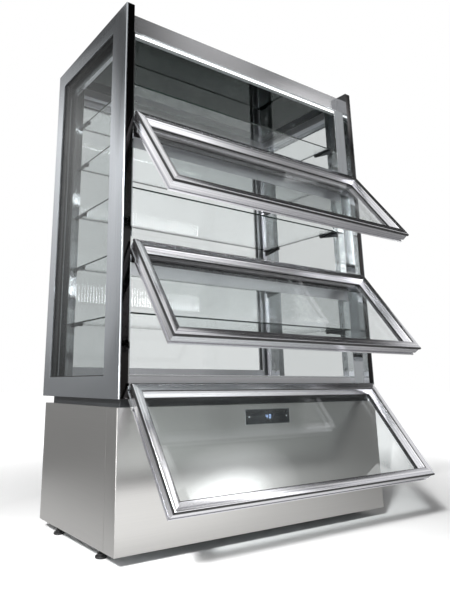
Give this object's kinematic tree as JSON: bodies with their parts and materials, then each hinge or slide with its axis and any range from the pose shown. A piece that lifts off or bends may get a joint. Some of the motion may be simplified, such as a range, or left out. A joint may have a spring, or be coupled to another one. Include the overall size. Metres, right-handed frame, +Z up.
{
  "type": "refrigerated display case",
  "caption": "Upright glazed refrigerated display case on a closed stainless base, with stacked front flaps that tip forward and down on pins near their lower edges.",
  "frame": {"origin": "centre of the footprint box at floor level, open flaps included", "axes": "+X to the right as seen from the front, +Y from the front to the rear, +Z up"},
  "size_m": [1.25, 0.8948, 1.905],
  "materials": {
    "stainless_sides": "satin steel, vertical grain",
    "stainless_casing": "brushed stainless steel",
    "anodised_frames": "natural anodised aluminium",
    "black_profiles": "gloss black anodised aluminium",
    "inner_steel": "bright stainless steel",
    "white_plastic": "moulded, matt",
    "black_plastic": "moulded, matt",
    "dark_paint": "black powder coat",
    "clear_glass": "clear float glass",
    "black_glass": "black touch glass",
    "display": "lit display",
    "diffuser": "opal light diffuser",
    "gasket_rubber": "extruded rubber",
    "shelf_glass": "toughened float glass with green edges",
    "tub_lining": "coated sheet over foam",
    "coil_fins": "thin fin stock",
    "copper_tube": "bare copper",
    "galvanised": "galvanised sheet"
  },
  "bodies": {
    "cabinet": {"side_frame_right": "stainless_sides", "side_frame_left": "stainless_sides", "side_glass": "clear_glass", "glass_spacers": "black_plastic", "side_linings": "inner_steel", "front_fins": "black_profiles", "front_posts": "anodised_frames", "shelf_standards": "anodised_frames", "head_rails": "anodised_frames", "transoms": "black_profiles", "front_rails": "anodised_frames", "rear_frame": "anodised_frames", "rear_sash": "anodised_frames", "rear_glass": "clear_glass", "roof_panel": "galvanised", "ceiling_panel": "inner_steel", "fascia": "inner_steel", "light_bar": "diffuser", "glass_shelves": "shelf_glass", "shelf_arms": "dark_paint", "deck": "inner_steel", "base_front_panel": "stainless_casing", "base_side_panels": "stainless_casing", "base_rear_grille": "galvanised", "base_tray": "galvanised", "base_cover": "stainless_casing", "neck": "dark_paint", "levelling_feet": "black_plastic", "cable_gland": "black_plastic", "control_panel": "black_glass", "control_display": "display", "cold_tub": "tub_lining", "evaporator_coil": "coil_fins", "evaporator_fan_plate": "galvanised", "evaporator_fan_motors": "dark_paint", "condenser_coil": "coil_fins", "condenser_shroud": "galvanised", "condenser_fan_motor": "dark_paint", "compressor": "dark_paint", "compressor_mounts": "gasket_rubber", "drain_pan": "white_plastic", "refrigerant_pipes": "copper_tube"},
    "lower_flap": {"lower_flap_frame": "anodised_frames", "lower_flap_glass": "clear_glass", "lower_flap_gasket": "gasket_rubber", "lower_flap_seal": "gasket_rubber", "lower_flap_hinges": "inner_steel"},
    "middle_flap": {"middle_flap_frame": "anodised_frames", "middle_flap_glass": "clear_glass", "middle_flap_gasket": "gasket_rubber", "middle_flap_seal": "gasket_rubber", "middle_flap_hinges": "inner_steel"},
    "upper_flap": {"upper_flap_frame": "anodised_frames", "upper_flap_glass": "clear_glass", "upper_flap_gasket": "gasket_rubber", "upper_flap_seal": "gasket_rubber", "upper_flap_hinges": "inner_steel"},
    "condenser_rotor": {"condenser_rotor": "black_plastic"},
    "evaporator_rotor_left": {"evaporator_rotor_left": "black_plastic"},
    "evaporator_rotor_right": {"evaporator_rotor_right": "black_plastic"}
  },
  "joints": [
    {"name": "lower_flap_hinge", "type": "hinge", "parent": "cabinet", "child": "lower_flap", "pos_m": [0, -0.18139, 0.5001], "axis": [-1, 0, 0], "range_deg": [0, 144]},
    {"name": "middle_flap_hinge", "type": "hinge", "parent": "cabinet", "child": "middle_flap", "pos_m": [0, -0.18139, 0.966], "axis": [-1, 0, 0], "range_deg": [0, 144]},
    {"name": "upper_flap_hinge", "type": "hinge", "parent": "cabinet", "child": "upper_flap", "pos_m": [0, -0.18139, 1.4319], "axis": [-1, 0, 0], "range_deg": [0, 144]},
    {"name": "evaporator_fan_left", "type": "hinge", "parent": "cabinet", "child": "evaporator_rotor_left", "pos_m": [-0.23, 0.08681, 0.453], "axis": [0, -1, 0], "continuous": true},
    {"name": "evaporator_fan_right", "type": "hinge", "parent": "cabinet", "child": "evaporator_rotor_right", "pos_m": [0.23, 0.08681, 0.453], "axis": [0, -1, 0], "continuous": true},
    {"name": "condenser_fan", "type": "hinge", "parent": "cabinet", "child": "condenser_rotor", "pos_m": [-0.3, 0.28331, 0.164], "axis": [0, 1, 0], "continuous": true}
  ],
  "couplings": [
    {"joint": "lower_flap_hinge", "follows": "upper_flap_hinge", "ratio": 1},
    {"joint": "middle_flap_hinge", "follows": "upper_flap_hinge", "ratio": 1}
  ]
}
